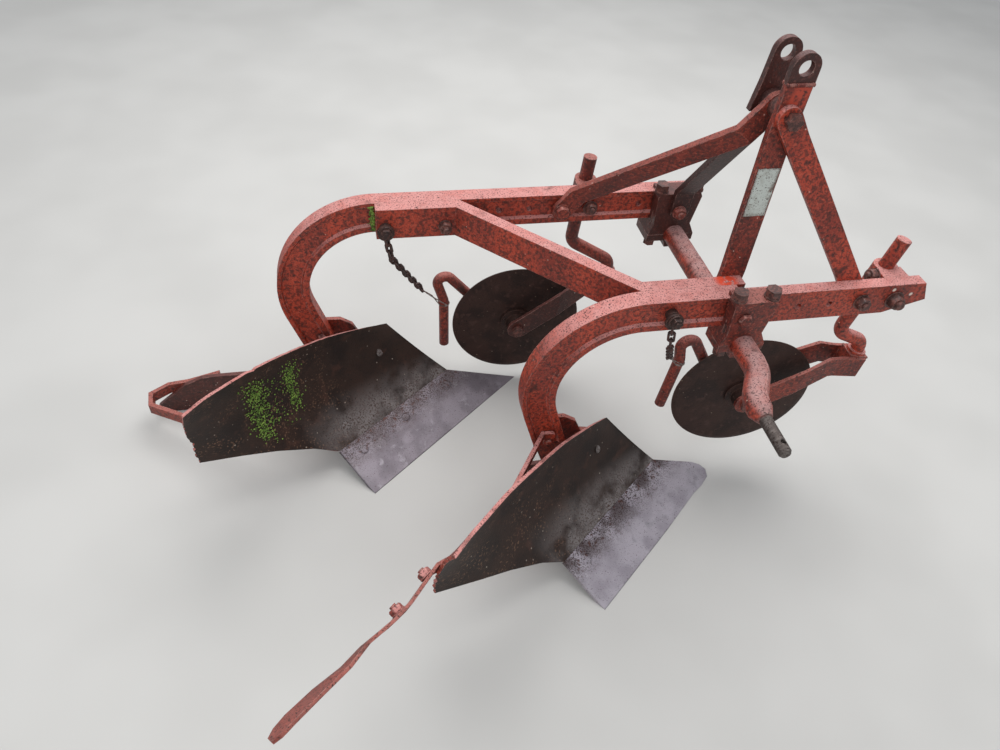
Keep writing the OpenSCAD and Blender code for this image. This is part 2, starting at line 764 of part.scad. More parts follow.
// as high as the beam, with its ends cut level
clamp_high = 90;
module clamp(c) {
  face = c[8] + skin - c[1];
  difference() {
    intersection() {
      at_shank(c) union() {
        translate([0, 0, -clamp_high / 2]) cylinder(h = clamp_high, r = 23);
        translate([-26, face, -clamp_high / 2]) cube([52, 0 - face - 8, clamp_high]);
      }
      translate([c[0] - 80, c[1] - 80, beam_bottom + 1]) cube([160, 160, beam_depth - 1]);
    }
    at_shank(c) translate([0, 0, -clamp_high]) cylinder(h = 2 * clamp_high, d = shank_dia + 2 * fit);
  }
}

axle_dia = 16;
arm_in = 30;
// middle of a fork arm below the top of the collar
arm_fall = 27;
// thickness of the eye of a weed rod
eye_thick = rod_dia + 1;
module yoke(c) {
  at_yoke(c) difference() {
    union() {
      translate([0, 0, -collar_high - collar_gap]) {
        cylinder(h = collar_high, r = 22);
        translate([-22, -18.5, 0]) cube([44, 37, collar_high]);
      }
      for (s = [-1, 1]) intersection() {
        side(-60, 60) {
          polygon(band([[18, -arm_fall], [-58, -arm_fall - 8], [-yoke_reach, -yoke_drop]], arm_width));
          translate([-yoke_reach, -yoke_drop]) circle(d = arm_width);
        }
        translate([0, 0, -300]) linear_extrude(400)
          polygon(band([for (q = [[40, 22], [-36, 22], [-110, arm_in + 4], [-yoke_reach - 40, arm_in + 4]])
            [q[0], s * q[1]]], arm_thick));
      }
    }
    translate([0, 0, -100]) cylinder(h = 150, d = shank_dia + 2 * fit);
    translate([-yoke_reach, 0, -yoke_drop]) rotate([90, 0, 0]) cylinder(h = 120, d = axle_dia + 0.1, center = true);
  }
}

module axle(c) {
  at_hub(c) rotate([-90, 0, 0]) {
    translate([0, 0, -arm_in - arm_thick - skin - 10]) hexagon(24, 10);
    translate([0, 0, -arm_in - arm_thick - skin - 0.5]) cylinder(h = 2 * (arm_in + arm_thick) + 34, d = axle_dia);
    translate([0, 0, arm_in + arm_thick + 2 * skin + eye_thick]) hexagon(24, 13);
  }
}

hub_flange = 38;
module disc(c) {
  at_hub(c) rotate([-90, 0, 0]) rotate_extrude()
    polygon([[20.1, -disc_thick / 2], [disc_radius - 9, -disc_thick / 2], [disc_radius, 0],
      [disc_radius - 9, disc_thick / 2], [20.1, disc_thick / 2]]);
}
module hub(c) {
  bore = axle_dia / 2 + fit;
  inner = disc_thick / 2 + skin;
  end = arm_in - 1;
  at_hub(c) rotate([-90, 0, 0]) rotate_extrude()
    polygon([[bore, -end], [24, -end], [26, -inner - 8], [hub_flange, -inner - 6], [hub_flange, -inner],
      [20, -inner], [20, inner], [hub_flange, inner], [hub_flange, inner + 6], [26, inner + 8],
      [24, end], [bore, end]]);
}

// radius of the bends of a weed rod
rod_bend = 18;
module weed_rod(c) {
  lift = c[9];
  y = arm_in + arm_thick + skin + eye_thick / 2;
  at_hub(c) difference() {
    union() {
      translate([0, y, 0]) rotate([90, 0, 0]) cylinder(h = eye_thick, r = 19, center = true);
      rod([[-12, y, 0], [-38, y, 2], [-68, 22, 10], [lift / 2 - 229, 20, lift + 170],
        [lift / 2 - 181, 18, lift + 46], [lift / 2 - 169, 18, lift - 93]], rod_dia, rod_bend);
    }
    rotate([90, 0, 0]) cylinder(h = 200, d = axle_dia + 0.1, center = true);
  }
}

module front_clamp() { color([0.48, 0.13, 0.10]) clamp(coulters[0]); }
module rear_clamp() { color([0.48, 0.13, 0.10]) clamp(coulters[1]); }
module front_shank() { color([0.46, 0.13, 0.11]) shank(coulters[0]); }
module rear_shank() { color([0.46, 0.13, 0.11]) shank(coulters[1]); }
module front_yoke() { color([0.50, 0.13, 0.10]) yoke(coulters[0]); }
module rear_yoke() { color([0.25, 0.14, 0.13]) yoke(coulters[1]); }
module front_axle() { color([0.25, 0.15, 0.14]) axle(coulters[0]); }
module rear_axle() { color([0.25, 0.15, 0.14]) axle(coulters[1]); }
module front_disc() { color([0.14, 0.10, 0.09]) disc(coulters[0]); }
module rear_disc() { color([0.14, 0.10, 0.09]) disc(coulters[1]); }
module front_hub() { color([0.22, 0.13, 0.12]) hub(coulters[0]); }
module rear_hub() { color([0.22, 0.13, 0.12]) hub(coulters[1]); }
module front_weed_rod() { color([0.45, 0.14, 0.12]) weed_rod(coulters[0]); }
module rear_weed_rod() { color([0.42, 0.14, 0.12]) weed_rod(coulters[1]); }

// Chains
link_half = 9.4;
link_round = 7.5;
// links that hang straight down from the ring
links_down = 3;
// ring of a chain link, long along Z
module link() {
  translate([-wire_dia / 2, 0, 0]) rotate([0, 90, 0]) linear_extrude(wire_dia) difference() {
    oval(link_half + wire_dia, link_round);
    oval(link_half, link_round - wire_dia);
  }
}
module oval(half, r) {
  square([2 * (half - r), 2 * r], center = true);
  for (s = [-1, 1]) translate([s * (half - r), 0]) circle(r = r, $fn = 20);
}

pitch = 2 * link_half + skin;
// links from a in direction d, the first one turned by spin
module run(a, d, links, spin) {
  for (k = [0 : links - 1])
    along(a + d * pitch * (k + 0.5), d) rotate([0, 0, spin + k % 2 * 90 + 45]) link();
}

// bolt with a ring hung on it, its foot this far in from the face; a chain drops from the ring
// and then runs towards the point to
hook_dia = 12;
ring_in = 10;
ring_out = 17;
hook_drop = 56;
module chain(bolt, through, to, links) {
  ring_z = hook_dia / 2 - ring_in;
  start = bolt + [0, -12, ring_z - ring_in];
  drop = [10, 3, -hook_drop];
  knee = start + unit(drop) * links_down * pitch;
  translate(bolt) rotate([90, 0, 0]) {
    translate([0, 0, -through]) cylinder(h = through + 30, d = hook_dia);
    translate([0, 0, skin - through]) cylinder(h = through + 6, d = 24);
    translate([0, 0, 17]) cylinder(h = 3, d = 28);
    translate([0, 0, 19.5]) hexagon(19, 8);
    translate([0, ring_z, 9]) difference() {
      cylinder(h = 6, r = ring_out);
      translate([0, 0, -1]) cylinder(h = 8, r = ring_in);
    }
  }
  run(start, unit(drop), links_down, 0);
  run(knee, unit(to - knee), links - links_down, 90);
}
module front_chain() { color([0.25, 0.16, 0.14]) chain([410, 0, 554], beam_recess, [500, 100, 326], 10); }
module rear_chain() {
  color([0.25, 0.16, 0.14])
    chain([-69, left_y - brace_thick - brace_gap, 545], 0, [58, 453, 230], 13);
}

module placed() {
  translate([-mid_x, -mid_y, 0]) children();
}

placed() right_beam();
placed() left_beam();
placed() diagonal_brace();
placed() right_shaft_bracket();
placed() left_shaft_bracket();
placed() right_shaft_cap();
placed() left_shaft_cap();
placed() bracket_bolts();
placed() cross_shaft();
placed() mast_rear_leg();
placed() mast_front_leg();
placed() right_ear();
placed() left_ear_plate();
placed() mast_spacer();
placed() mast_bolt();
placed() long_brace();
placed() short_brace();
placed() blank_plate();
placed() front_frog();
placed() rear_frog();
placed() front_share();
placed() rear_share();
placed() front_moldboard();
placed() rear_moldboard();
placed() front_landside();
placed() rear_landside();
placed() front_stay();
placed() rear_loop();
placed() tail_extension();
placed() front_clamp();
placed() rear_clamp();
placed() front_shank();
placed() rear_shank();
placed() front_yoke();
placed() rear_yoke();
placed() front_axle();
placed() rear_axle();
placed() front_disc();
placed() rear_disc();
placed() front_hub();
placed() rear_hub();
placed() front_weed_rod();
placed() rear_weed_rod();
placed() front_chain();
placed() rear_chain();
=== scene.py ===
import json
import math
import random

import bmesh
import bpy
from mathutils import Matrix, Vector, noise


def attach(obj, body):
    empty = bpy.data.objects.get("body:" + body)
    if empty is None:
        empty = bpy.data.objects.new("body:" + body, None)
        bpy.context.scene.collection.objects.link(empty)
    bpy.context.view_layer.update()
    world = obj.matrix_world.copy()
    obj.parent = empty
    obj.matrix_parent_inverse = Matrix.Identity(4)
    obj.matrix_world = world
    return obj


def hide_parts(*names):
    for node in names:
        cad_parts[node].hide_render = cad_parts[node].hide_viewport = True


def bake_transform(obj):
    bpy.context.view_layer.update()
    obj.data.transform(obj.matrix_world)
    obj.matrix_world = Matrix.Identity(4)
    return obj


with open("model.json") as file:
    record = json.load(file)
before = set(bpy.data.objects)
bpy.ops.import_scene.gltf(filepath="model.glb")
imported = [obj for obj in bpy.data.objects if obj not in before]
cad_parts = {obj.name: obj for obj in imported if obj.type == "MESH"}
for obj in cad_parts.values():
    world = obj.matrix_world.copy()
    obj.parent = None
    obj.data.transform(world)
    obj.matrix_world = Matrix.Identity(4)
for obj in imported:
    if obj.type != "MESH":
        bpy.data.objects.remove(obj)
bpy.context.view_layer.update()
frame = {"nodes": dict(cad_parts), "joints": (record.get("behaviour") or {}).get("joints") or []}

nodes = frame["nodes"]
joints = {joint["name"]: joint for joint in frame["joints"]}


# Camera
# The picture was taken at chest height from the plough's right side, looking down across it. The place,
# the turns and the lens follow from the plough's own straight lines.
MIDDLE_X, MIDDLE_Y = 153.3, 13.3


def spot(x, y, z):
    """A point in millimetres, measured as in the part's source, as a point of the frame in metres."""
    return Vector((x - MIDDLE_X, y - MIDDLE_Y, z)) / 1000


yaw, pitch, roll = math.radians(15.93), math.radians(45.2), math.radians(6.21)
ahead = Vector((math.sin(yaw) * math.cos(pitch), math.cos(yaw) * math.cos(pitch), -math.sin(pitch)))
level = Vector((math.cos(yaw), -math.sin(yaw), 0))
above = level.cross(ahead)
right = level * math.cos(roll) + above * math.sin(roll)
upward = above * math.cos(roll) - level * math.sin(roll)

camera = bpy.data.objects.new("camera", bpy.data.cameras.new("camera"))
camera.matrix_world = (
    Matrix.Translation(spot(-156.2, -909.8, 1394.4))
    @ Matrix((right, upward, -ahead)).transposed().to_4x4()
)
camera.data.sensor_width = 36
camera.data.lens = 26.63
camera.data.clip_start, camera.data.clip_end = 0.05, 60
bpy.context.scene.collection.objects.link(camera)
bpy.context.scene.camera = camera
bpy.context.scene.view_settings.view_transform = "Standard"


# Studio
# A plain pale floor of painted board, under the even light of an overcast sky: a wide soft lamp
# overhead and behind the plough, a weaker one from the camera's side, and a pale surround.
def linear(code):
    """An sRGB hex colour as the linear colour that a shader takes."""
    parts = [int(code[i : i + 2], 16) / 255 for i in (0, 2, 4)]
    return [p / 12.92 if p <= 0.04045 else ((p + 0.055) / 1.055) ** 2.4 for p in parts] + [1]


def add(material, kind, sockets=None, **settings):
    """Adds a node with its settings. A socket takes a number, a colour or another node's output."""
    tree = material.node_tree
    made = tree.nodes.new(kind)
    for name, value in settings.items():
        setattr(made, name, value)
    for name, value in (sockets or {}).items():
        if isinstance(value, bpy.types.NodeSocket):
            tree.links.new(value, made.inputs[name])
        else:
            made.inputs[name].default_value = value
    return made


def new_material(name, **constants):
    """A material and its shader, with the shader's constant sockets set."""
    material = bpy.data.materials.new(name)
    material.use_nodes = True
    shader = material.node_tree.nodes["Principled BSDF"]
    for socket, value in constants.items():
        shader.inputs[socket.replace("_", " ")].default_value = value
    return material, shader


def drive(material, shader, **outputs):
    """Links node outputs to the shader's sockets."""
    for socket, output in outputs.items():
        material.node_tree.links.new(output, shader.inputs[socket.replace("_", " ")])


def ramp(material, value, low, high, start=0.0, end=1.0, smooth=False):
    """Carries a value from the range low to high over to start to end, and holds it there."""
    return add(material, "ShaderNodeMapRange",
               {"Value": value, "From Min": low, "From Max": high, "To Min": start, "To Max": end},
               interpolation_type="SMOOTHSTEP" if smooth else "LINEAR").outputs[0]


def spots(material, size, low, high, detail=2.0, stretch=(1, 1, 1)):
    """Mask of irregular spots about size millimetres across: 0 where the noise is low, 1 where high."""
    place = add(material, "ShaderNodeTexCoord").outputs["Object"]
    place = add(material, "ShaderNodeVectorMath", {0: place, 1: stretch}, operation="MULTIPLY").outputs[0]
    cloud = add(material, "ShaderNodeTexNoise", {"Vector": place, "Scale": 1000 / size, "Detail": detail})
    return ramp(material, cloud.outputs[0], low, high, smooth=True)


def layered(material, base, coats):
    """Lays coats of colour over a base. Each coat is a colour and the mask of where it shows."""
    seen = base
    for tint, mask in coats:
        seen = add(material, "ShaderNodeMix", {0: mask, 6: seen, 7: tint}, data_type="RGBA").outputs[2]
    return seen


floor_paint, shader = new_material("pale_floor_paint", Roughness=0.85)
drive(floor_paint, shader, Base_Color=layered(floor_paint, linear("c3c1bd"), [
    (linear("cac8c4"), spots(floor_paint, 400, 0.3, 0.7)),
]))

FLOOR_HALF, FLOOR_DROP = 12, 0.0004
bm = bmesh.new()
bmesh.ops.create_grid(bm, x_segments=2, y_segments=2, size=FLOOR_HALF)
floor_mesh = bpy.data.meshes.new("floor")
bm.to_mesh(floor_mesh)
bm.free()
floor = bpy.data.objects.new("floor", floor_mesh)
floor.location.z = -FLOOR_DROP
floor_mesh.materials.append(floor_paint)
bpy.context.scene.collection.objects.link(floor)

world = bpy.data.worlds.new("overcast")
world.use_nodes = True
world.node_tree.nodes["Background"].inputs["Color"].default_value = linear("dfe4ea")
world.node_tree.nodes["Background"].inputs["Strength"].default_value = 0.62
bpy.context.scene.world = world

lit_point = Vector((0, 0, 0.35))
# columns: name, place and width in metres, power in watts
for name, place, size, power in (
    ("sky_lamp", (0.5, 1.4, 3.4), 3.2, 120),
    ("camera_side_lamp", (-1.4, -2.2, 2.6), 2.4, 32),
):
    lamp = bpy.data.objects.new(name, bpy.data.lights.new(name, "AREA"))
    lamp.data.size, lamp.data.energy = size, power
    lamp.location = place
    lamp.rotation_euler = (lit_point - lamp.location).to_track_quat("-Z", "Y").to_euler()
    bpy.context.scene.collection.objects.link(lamp)


# Beams, braces and other painted steel
# Forged and rolled steel bars, brush painted red years ago. The upper faces are a chalky pink, partly
# paled by the sun and partly painted sky light, the sides keep a dull brick red, and rust and dirt show
# through in dark pits.
def times(material, first, second):
    """The product of a mask and another mask or a number."""
    return add(material, "ShaderNodeMath", {0: first, 1: second}, operation="MULTIPLY").outputs[0]


def facing_up(material, low, high):
    """Mask of the faces that look at the sky, as the piece lies at rest."""
    normal = add(material, "ShaderNodeTexCoord").outputs["Normal"]
    rise = add(material, "ShaderNodeSeparateXYZ", {0: normal}).outputs["Z"]
    return ramp(material, rise, low, high, smooth=True)


def rounded_edges(material, radius):
    """The normal of edges rounded to radius millimetres, and the mask of those edges."""
    soft = add(material, "ShaderNodeBevel", {"Radius": radius / 1000}, samples=4).outputs[0]
    flat = add(material, "ShaderNodeNewGeometry").outputs["True Normal"]
    agree = add(material, "ShaderNodeVectorMath", {0: soft, 1: flat}, operation="DOT_PRODUCT")
    return soft, ramp(material, agree.outputs["Value"], 0.985, 0.86)


def dots(material, spacing, radius):
    """Mask of small round dots, one in each cell of the given spacing in millimetres."""
    place = add(material, "ShaderNodeTexCoord").outputs["Object"]
    cells = add(material, "ShaderNodeTexVoronoi", {"Vector": place, "Scale": 1000 / spacing})
    return ramp(material, cells.outputs["Distance"], radius / spacing, 0.6 * radius / spacing)


def bumps(material, height, depth, strength, normal=None, sunk=False):
    """The normal of a relief, depth millimetres high and raised or sunk, over another normal."""
    sockets = {"Height": height, "Distance": depth / 1000, "Strength": strength}
    if normal is not None:
        sockets["Normal"] = normal
    return add(material, "ShaderNodeBump", sockets, invert=sunk).outputs[0]


def weathered_paint(name, paint, dull, bleached_lit_top, fade_and_top_light, pits, flake="c8614a", gloss=0.52):
    """Old enamel on steel. The pale tops are partly sun fading and partly painted sky light; the fifth
    argument is how far the tops pale, pits how much rust shows through.
    """
    material, shader = new_material(name, Roughness=gloss)
    sky = facing_up(material, 0.35, 0.9)
    soft, edge = rounded_edges(material, 2.5)
    runs = spots(material, 60, 0.38, 0.68, 3, (1, 1, 0.35))
    thin = spots(material, 22, 0.42, 0.66, 3)
    flakes = times(material, spots(material, 5, 0.54, 0.66, 2), ramp(material, sky, 0, 1, 0.42, 0.3))
    mottle = times(material, spots(material, 6.5, 0.46, 0.60, 2), ramp(material, sky, 0, 1, 0.62, 0.22))
    # painted light: faces that look up take the pale top colour, partly sun fading and partly painted sky
    # light
    faded_and_lit_tops = times(material, times(material, sky, fade_and_top_light), ramp(material, thin, 0, 1, 1.0, 0.72))
    patch = spots(material, 45, 0.66 - 0.07 * pits, 0.78, 5)
    blot = times(material, spots(material, 6.5, 0.68 - 0.06 * pits, 0.76 - 0.05 * pits, 3),
                 spots(material, 50, 0.30, 0.62, 2))
    speck = times(material, spots(material, 2.8, 0.60 - 0.05 * pits, 0.69, 1),
                  ramp(material, sky, 0, 1, 0.7, 0.9))
    # light pink on the rounded edges: partly paint wear, partly a painted highlight where the edges catch the
    # light
    worn_and_lit_edges = times(material, edge, spots(material, 12, 0.40, 0.58, 3))
    pale = times(material, dots(material, 15, 1.5), spots(material, 50, 0.5, 0.6))
    rust = linear("3a1f1a")
    tint = layered(material, linear(paint), [
        (linear(dull), runs),
        (linear(flake), flakes),
        (rust, mottle),
        (linear(bleached_lit_top), faded_and_lit_tops),
        (rust, patch),
        (rust, blot),
        (linear("331b17"), speck),
        (linear("d9a79b"), times(material, worn_and_lit_edges, 0.5)),
        (linear("cdb3a4"), pale),
    ])
    lump = add(material, "ShaderNodeMath", {0: blot, 1: speck}, operation="ADD").outputs[0]
    pitted = bumps(material, lump, 0.6, 0.5, soft, sunk=True)
    drive(material, shader, Base_Color=tint, Roughness=ramp(material, faded_and_lit_tops, 0, 1, gloss, 0.78),
          Normal=bumps(material, spots(material, 5, 0.3, 0.7, 4), 0.5, 0.45, pitted))
    return material


def dress(material, *names):
    """Gives CAD nodes their material."""
    for name in names:
        slots = nodes[name].data.materials
        slots.clear()
        slots.append(material)


# columns: paint, its dull runs, its pale tops (sun fading and painted sky light), how far the tops pale and
# how far it is pitted
RED = ("b8452e", "8f3527", "cb8c86", 0.92, 0.9)
BRICK = ("8e3829", "632821", "ad6b61", 0.75, 1.0)
SHADED_FLAKE = "7d4a42"

red_enamel = weathered_paint("red_enamel_faded_lit_tops", *RED)
dress(red_enamel, "mast_front_leg", "front_clamp", "front_shank", "front_stay")

# a deeper brick red copy of the enamel, darker all over
brick_enamel = weathered_paint("red_enamel_deeper_brick", *BRICK)
dress(brick_enamel, "right_shaft_bracket", "right_shaft_cap", "front_yoke", "long_brace", "rear_clamp",
      "rear_shank", "front_weed_rod", "rear_weed_rod", "rear_loop", "tail_extension", "front_frog",
      "rear_frog")

# painted shade: a darker copy of the red enamel for the left-hand and hidden parts and the landsides, which
# lie in shade
shade_maroon_enamel = weathered_paint("red_enamel_painted_shade", "54271f", "3a1d1a", "74433d", 0.5, 0.8,
                                SHADED_FLAKE, 0.46)
dress(shade_maroon_enamel, "left_shaft_bracket", "left_shaft_cap", "right_ear", "left_ear_plate", "rear_yoke",
      "front_landside", "rear_landside")

# painted shade: the red enamel darkened almost to black for the short brace
deep_shade_enamel = weathered_paint("red_enamel_deep_painted_shade", "3f1f1b", "2b1614", "5e3833", 0.5, 0.9,
                               SHADED_FLAKE, 0.5)
dress(deep_shade_enamel, "short_brace")


def dab(material, centre, size, colour, ragged):
    """Lays a dab of colour, size millimetres across, round a point, over what the material has."""
    shader = material.node_tree.nodes["Principled BSDF"]
    place = add(material, "ShaderNodeTexCoord").outputs["Object"]
    away = add(material, "ShaderNodeVectorMath", {0: place, 1: centre}, operation="DISTANCE").outputs["Value"]
    radius = size / 2000
    mask = ramp(material, away, radius, radius / 1.7)
    if ragged:
        mask = times(material, mask, spots(material, 9, 0.34, 0.5, 3))
    under = shader.inputs["Base Color"].links[0].from_socket
    drive(material, shader, Base_Color=layered(material, under, [(linear(colour), mask)]))


# newer orange red where the front end of the diagonal brace was touched up
touched_up = weathered_paint("red_enamel_touched_up", *RED)
dab(touched_up, spot(527, 50, 585), 52, "d8482a", True)
dress(touched_up, "diagonal_brace")

# small pale cream dabs on the sides of the beams
pale_dabbed_enamel = weathered_paint("red_enamel_pale_dabs", *RED)
for pale_dab_point in (spot(853.9, 0, 574.3), spot(896.4, 0, 560.9), spot(472.2, 355.6, 553.1)):
    dab(pale_dabbed_enamel, pale_dab_point, 9, "e6d6c8", False)
dress(pale_dabbed_enamel, "right_beam", "left_beam")

# brighter patches of paint where other bars once covered the top of the rear leg
patched = weathered_paint("red_enamel_patched", *BRICK)
for patch in (spot(566, 97, 905), spot(556, 97, 872), spot(570, 97, 925)):
    dab(patched, patch, 44, "b8452f", True)
dress(patched, "mast_rear_leg")


# Bolts, nuts and washers
# Hexagon nuts and bolt heads of plain forged steel, turned to a chamfer on top, now rusted dark with
# scraps of paint. Bolt ends stand out of the nuts with their rolled threads full of rust.
def rusted_steel(name, deep, light, gloss=0.6):
    """Plain steel with years of even rust: matt, mottled at the size of scale flakes."""
    material, shader = new_material(name, Roughness=gloss)
    soft, edge = rounded_edges(material, 1.5)
    tint = layered(material, linear(deep), [
        (linear(light), spots(material, 9, 0.42, 0.62, 4)),
        (linear("241614"), spots(material, 2.5, 0.55, 0.68, 2)),
        (linear("a0786c"), times(material, edge, spots(material, 5, 0.5, 0.65, 2))),
    ])
    drive(material, shader, Base_Color=tint,
          Normal=bumps(material, spots(material, 3, 0.3, 0.7, 4), 0.5, 0.5, soft))
    return material


rusty_nut = rusted_steel("forged_steel_rusted", "4d302b", "74453c", 0.5)
chain_rust = rusted_steel("chain_wire_rusted", "33211d", "4d3029")
dress(rusty_nut, "bracket_bolts", "mast_spacer", "mast_bolt", "front_axle", "rear_axle")
dress(chain_rust, "front_chain", "rear_chain")

SIDES = 24
WASHER_THICK, THREAD_PITCH = 2.5, 2.0
RIGHT, LEFT = (0, -1, 0), (0, 1, 0)
# the rear bottom stands this far behind the front one, and this far to its left
SET_BACK, SIDESTEP = 436, 355.6


def hexagon_ring(flats, height):
    """A ring of points round a hexagon of the given width across flats."""
    turns = [2 * math.pi * i / SIDES for i in range(SIDES)]
    reach = [flats / 2 / math.cos((a + math.pi / 6) % (math.pi / 3) - math.pi / 6) for a in turns]
    return [Vector((r * math.cos(a), r * math.sin(a), height)) for a, r in zip(turns, reach)]


def round_ring(radius, height, sides=SIDES):
    """A ring of points round a circle."""
    turns = [2 * math.pi * i / sides for i in range(sides)]
    return [Vector((radius * math.cos(a), radius * math.sin(a), height)) for a in turns]


def skin_over(bm, rings, place):
    """Skins a stack of rings, in millimetres, puts it in place and closes both ends."""
    rows = [[bm.verts.new(place @ (p / 1000)) for p in ring] for ring in rings]
    for low, high in zip(rows, rows[1:]):
        for i in range(len(low)):
            j = (i + 1) % len(low)
            bm.faces.new((low[i], low[j], high[j], high[i]))
    bm.faces.new(rows[0][::-1])
    bm.faces.new(rows[-1])


def standing(x, y, z, axis, turn=0.0):
    """Puts a piece built up along Z at a point in millimetres, with Z along the axis."""
    tilt = Vector(axis).normalized().to_track_quat("Z", "Y").to_matrix().to_4x4()
    return Matrix.Translation(spot(x, y, z)) @ tilt @ Matrix.Rotation(math.radians(turn), 4, "Z")


def nut(bm, place, flats, height, stud=0, length=0, washer=0):
    """A chamfered nut or head, with a threaded stud and a washer where they have a size."""
    base = 0
    if washer:
        skin_over(bm, [round_ring(washer / 2 - 0.4, 0), round_ring(washer / 2, 0.4),
                       round_ring(washer / 2, WASHER_THICK - 0.4),
                       round_ring(washer / 2 - 0.5, WASHER_THICK)], place)
        base = WASHER_THICK
    top = base + height
    skin_over(bm, [hexagon_ring(flats - 1.5, base), hexagon_ring(flats, base + 0.8),
                   hexagon_ring(flats, top - 0.12 * flats), round_ring(flats * 0.47, top)], place)
    if length:
        rings = [round_ring(stud / 2, top - 1)]
        for k in range(int(length / THREAD_PITCH)):
            z = top + k * THREAD_PITCH
            rings += [round_ring(stud / 2 - 0.8, z + 0.3), round_ring(stud / 2, z + 1.3)]
        rings.append(round_ring(stud / 2 - 1.5, top + length))
        skin_over(bm, rings, place)


def nuts(rows):
    """The mesh of several nuts. Each row is a point, the way the nut faces, its turn and its sizes."""
    bm = bmesh.new()
    for point, way, turn, *sizes in rows:
        nut(bm, standing(*point, way, turn), *sizes)
    return bm


def shaped(name, bm, *materials, smooth=35):
    """Makes an object of a mesh and shades it smooth up to an angle in degrees."""
    bmesh.ops.recalc_face_normals(bm, faces=bm.faces)
    mesh = bpy.data.meshes.new(name)
    bm.to_mesh(mesh)
    bm.free()
    mesh.shade_smooth()
    mesh.set_sharp_from_angle(angle=math.radians(smooth))
    for material in materials:
        mesh.materials.append(material)
    made = bpy.data.objects.new(name, mesh)
    bpy.context.scene.collection.objects.link(made)
    return made


def piece(name, bm, body, slot, *materials, smooth=35):
    """Makes an object of a mesh and rides it on its body."""
    made = shaped(name, bm, *materials, smooth=smooth)
    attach(made, body)
    return made


# The last nut is behind the front clamp, and shows the shank of its bolt.
# columns: point, way it faces, turn, width across flats, height, stud's diameter and length, washer
BEHIND_CLAMP, CLAMP_BOLT = (-0.985, 0, 0.174), (834, 40, 578)
bm = nuts([
    ((50, 329.3, 543), RIGHT, 12, 24, 12, 14, 10, 28),
    ((792, -0.1, 553), RIGHT, 20, 24, 14, 15, 5, 32),
    ((864, -0.1, 551), RIGHT, 5, 27, 15, 18, 7, 38),
    ((361, 355.4, 552), RIGHT, 9, 22, 10, 14, 6, 32),
    ((50, 391.8, 543), LEFT, 3, 24, 9, 0, 0, 28),
    ((-69, 391.8, 545), LEFT, 22, 24, 9, 0, 0, 28),
    ((792, 37.4, 553), LEFT, 8, 22, 10, 14, 8, 28),
    (CLAMP_BOLT, BEHIND_CLAMP, 10, 24, 13, 14, 5, 30),
])
skin_over(bm, [round_ring(8, -12), round_ring(8, 0.5)], standing(*CLAMP_BOLT, BEHIND_CLAMP))
piece("beam_nuts", bm, "frame", "bolt_steel", rusty_nut)

# painted nuts: two behind the strap at the tail of the front moldboard, one on the foot of each beam
bm = nuts([
    ((-65.2, -278.1, 257.4), (-0.64, 0.73, 0.25), 12, 22, 10, 13, 4, 26),
    ((-118.9, -341.1, 267.8), (-0.64, 0.70, 0.33), 25, 22, 10, 13, 4, 26),
    ((220, 5.9, 238), RIGHT, 18, 23, 11, 13, 5),
    ((220 - SET_BACK, 5.9 + SIDESTEP, 238), RIGHT, 40, 23, 11, 13, 5),
])
piece("painted_nuts", bm, "frame", "bolt_steel", red_enamel)


# Cross shaft
# A solid round bar, forged with a crank near each end, turned down to a bare hitch pin beyond each
# shoulder. The forging left a thin raised line along the bar. The pins are polished by the lower links.
SHAFT_X, SHAFT_Z, HITCH_Y, SHOULDER = 553, 493, 128, 341.5
SHAFT_RADIUS, NECK = 22.2, 20
THROW, THROW_RISE, CRANK_RADIUS, CRANK_ANGLE = 45, math.radians(9), 75, math.radians(32)

hitched = weathered_paint("red_enamel_on_forging", "b0432f", "8b3629", "b7908c", 0.85, 1.1, gloss=0.45)
shader = hitched.node_tree.nodes["Principled BSDF"]
place = add(hitched, "ShaderNodeTexCoord").outputs["Object"]
across = add(hitched, "ShaderNodeSeparateXYZ", {0: place}).outputs["Y"]
hitch_middle = (HITCH_Y - MIDDLE_Y) / 1000
from_middle = add(hitched, "ShaderNodeMath", {0: across, 1: hitch_middle}, operation="SUBTRACT").outputs[0]
reach = add(hitched, "ShaderNodeMath", {0: from_middle}, operation="ABSOLUTE").outputs[0]
pin = ramp(hitched, reach, (SHOULDER - 3) / 1000, (SHOULDER + 3) / 1000)
bare = layered(hitched, linear("5d5450"), [
    (linear("7a716c"), spots(hitched, 12, 0.45, 0.7, 3, (1, 4, 1))),
    (linear("35231f"), spots(hitched, 4, 0.55, 0.7, 3)),
])
painted = shader.inputs["Base Color"].links[0].from_socket
drive(hitched, shader, Base_Color=layered(hitched, painted, [(bare, pin)]),
      Metallic=ramp(hitched, pin, 0, 1, 0, 0.6))
dress(hitched, "cross_shaft")

crank_bow = CRANK_RADIUS * math.sin(CRANK_ANGLE)
crank_run = 2 * crank_bow + (THROW - 2 * CRANK_RADIUS * (1 - math.cos(CRANK_ANGLE))) / math.tan(CRANK_ANGLE)
crank_start = SHOULDER - NECK - crank_run


def throw_at(out):
    """How far the middle of the bar stands off at a distance out from the middle of the shaft."""
    run = min(max(out - crank_start, 0), crank_run)
    if run > crank_run / 2:
        return THROW - throw_at(2 * crank_start + crank_run - out) if run < crank_run else THROW
    if run < crank_bow:
        return CRANK_RADIUS - math.sqrt(CRANK_RADIUS**2 - run * run)
    return CRANK_RADIUS * (1 - math.cos(CRANK_ANGLE)) + (run - crank_bow) * math.tan(CRANK_ANGLE)


